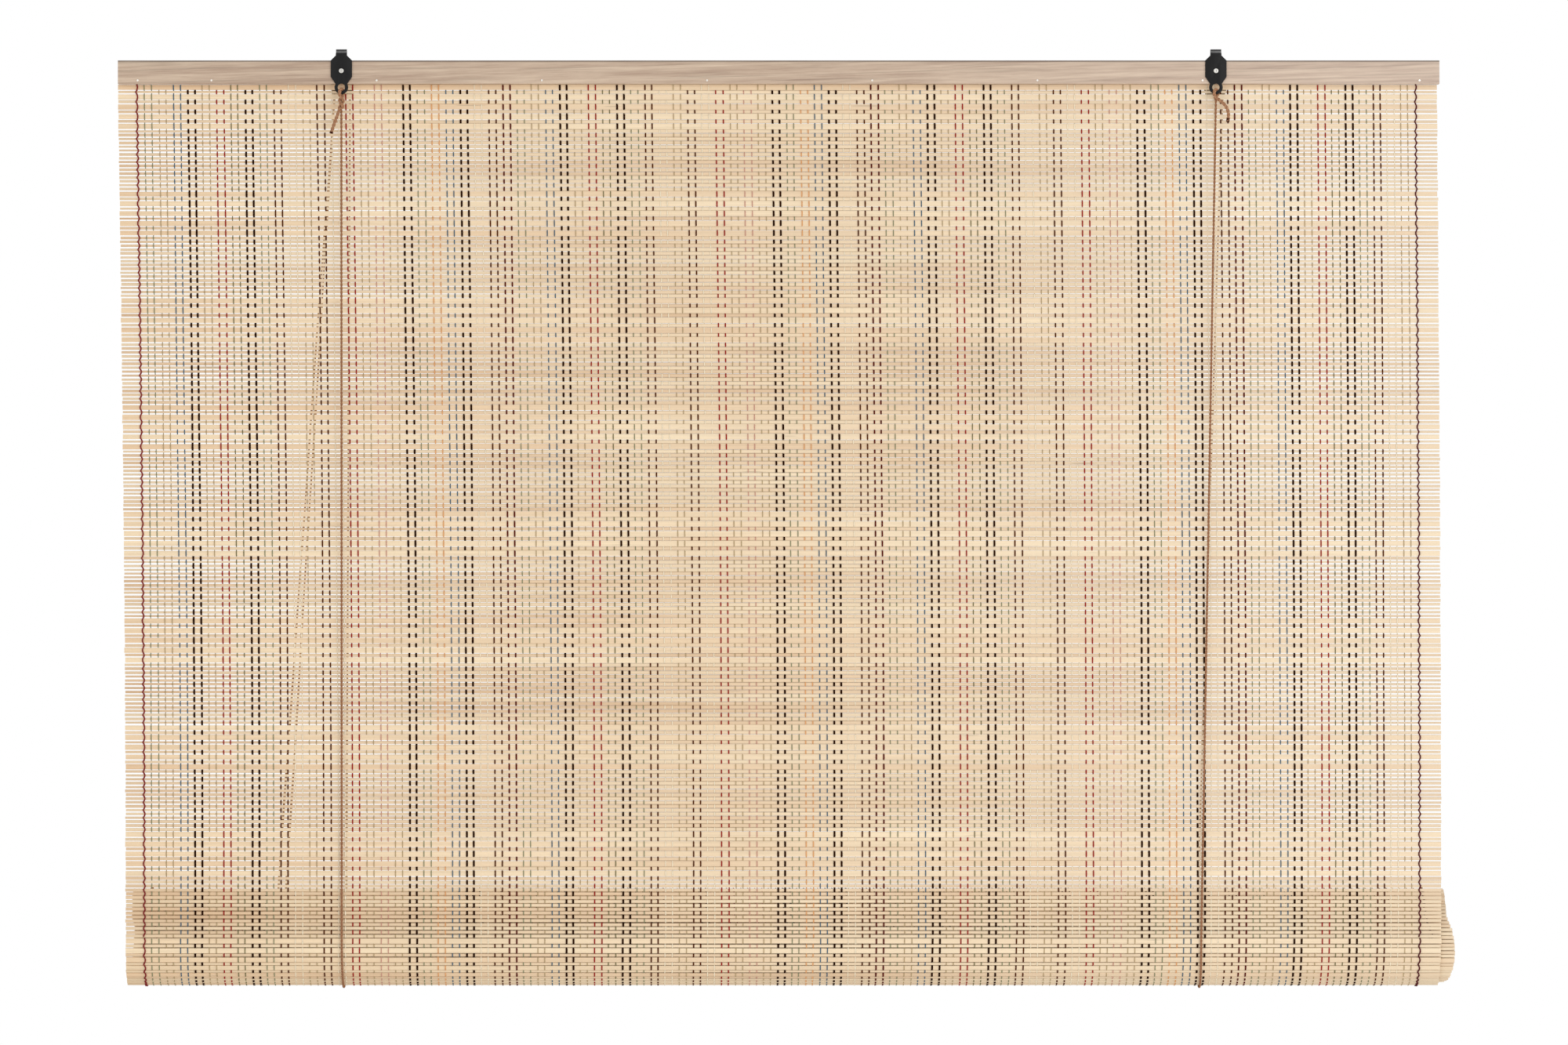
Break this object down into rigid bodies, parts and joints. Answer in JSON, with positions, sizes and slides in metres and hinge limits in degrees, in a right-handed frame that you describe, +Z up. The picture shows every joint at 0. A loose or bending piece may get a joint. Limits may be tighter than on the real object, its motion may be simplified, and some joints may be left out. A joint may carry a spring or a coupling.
{
  "type": "bamboo roll up blind",
  "caption": "Woven bamboo slat blind on a wooden head rail, hung by steel hooks and rolled up from below by cords.",
  "frame": {"origin": "axis of the hanging hooks, midway between them", "axes": "+X along the rail to the right as seen from the room, -Y towards the room, +Z up"},
  "size_m": [1.219, 0.1142, 0.856],
  "materials": {
    "rail_wood": "bare planed wood, fine horizontal grain",
    "lath_wood": "bare planed wood",
    "nail_steel": "bright brad heads",
    "clip_black": "black paint, satin",
    "screw_steel": "zinc plated",
    "wheel_black": "moulded nylon",
    "bamboo": "split bamboo, matt, tone varies from slat to slat",
    "thread_black": "spun thread",
    "thread_brown": "spun thread",
    "thread_maroon": "spun thread",
    "thread_red": "spun thread",
    "thread_blue": "spun thread",
    "thread_sage": "spun thread",
    "thread_tan": "spun thread",
    "thread_olive": "spun thread",
    "thread_pink": "spun thread",
    "thread_orange": "spun thread",
    "thread_cream": "spun thread",
    "edge_thread": "thick spun thread",
    "lift_cord": "twisted paper or jute cord"
  },
  "bodies": {
    "head": {"head_rail": "rail_wood", "back_rail": "lath_wood", "rail_nails": "nail_steel", "left_clip": "clip_black", "right_clip": "clip_black", "clip_screws": "screw_steel", "left_bracket": "clip_black", "right_bracket": "clip_black", "bracket_screws": "screw_steel", "left_wheel_pin": "screw_steel", "right_wheel_pin": "screw_steel", "mat": "bamboo", "left_edge_cord": "edge_thread", "right_edge_cord": "edge_thread", "warp_black": "thread_black", "warp_brown": "thread_brown", "warp_maroon": "thread_maroon", "warp_red": "thread_red", "warp_blue": "thread_blue", "warp_sage": "thread_sage", "warp_tan": "thread_tan", "warp_olive": "thread_olive", "warp_pink": "thread_pink", "warp_orange": "thread_orange", "warp_cream": "thread_cream", "left_knot": "lift_cord", "right_knot": "lift_cord", "left_front_cord": "lift_cord", "right_front_cord": "lift_cord", "left_back_cord": "lift_cord", "right_back_cord": "lift_cord", "left_turn_cord": "lift_cord", "rail_cord": "lift_cord", "left_pull_cord": "lift_cord", "right_pull_cord": "lift_cord"},
    "sling": {"left_sling": "lift_cord", "right_sling": "lift_cord", "left_pull_tail": "lift_cord", "right_pull_tail": "lift_cord"},
    "roll": {"mat_roll": "bamboo", "bottom_rail": "lath_wood"},
    "pull": {"pull_knot": "lift_cord"},
    "left_wheel": {"left_wheel": "wheel_black"},
    "right_wheel": {"right_wheel": "wheel_black"}
  },
  "joints": [
    {"name": "roll_lift", "type": "slide", "parent": "head", "child": "sling", "axis": [0, 0, 1], "range_m": [0, 0.62], "deforming": ["mat", "warp_black", "warp_brown", "warp_maroon", "warp_red", "warp_blue", "warp_sage", "warp_tan", "warp_olive", "warp_pink", "warp_orange", "warp_cream", "left_edge_cord", "right_edge_cord", "left_front_cord", "right_front_cord", "left_back_cord", "right_back_cord", "left_pull_cord", "right_pull_cord"]},
    {"name": "roll_turn", "type": "hinge", "parent": "sling", "child": "roll", "pos_m": [0, 0.051, -0.8038], "axis": [1, 0, 0], "range_deg": [0, 720.1]},
    {"name": "pull_drop", "type": "slide", "parent": "sling", "child": "pull", "axis": [0, 0, 1], "range_m": [-1.86, 0]},
    {"name": "left_wheel_spin", "type": "hinge", "parent": "head", "child": "left_wheel", "pos_m": [-0.397, 0.018, -0.03], "axis": [0, -1, 0], "range_deg": [0, 10200]},
    {"name": "right_wheel_spin", "type": "hinge", "parent": "head", "child": "right_wheel", "pos_m": [0.397, 0.018, -0.03], "axis": [0, -1, 0], "range_deg": [0, 10200]}
  ],
  "couplings": [
    {"joint": "roll_turn", "follows": "roll_lift", "rad_per_m": 20.268},
    {"joint": "pull_drop", "follows": "roll_lift", "ratio": -3},
    {"joint": "left_wheel_spin", "follows": "roll_lift", "rad_per_m": 285.7},
    {"joint": "right_wheel_spin", "follows": "roll_lift", "rad_per_m": 285.7}
  ]
}
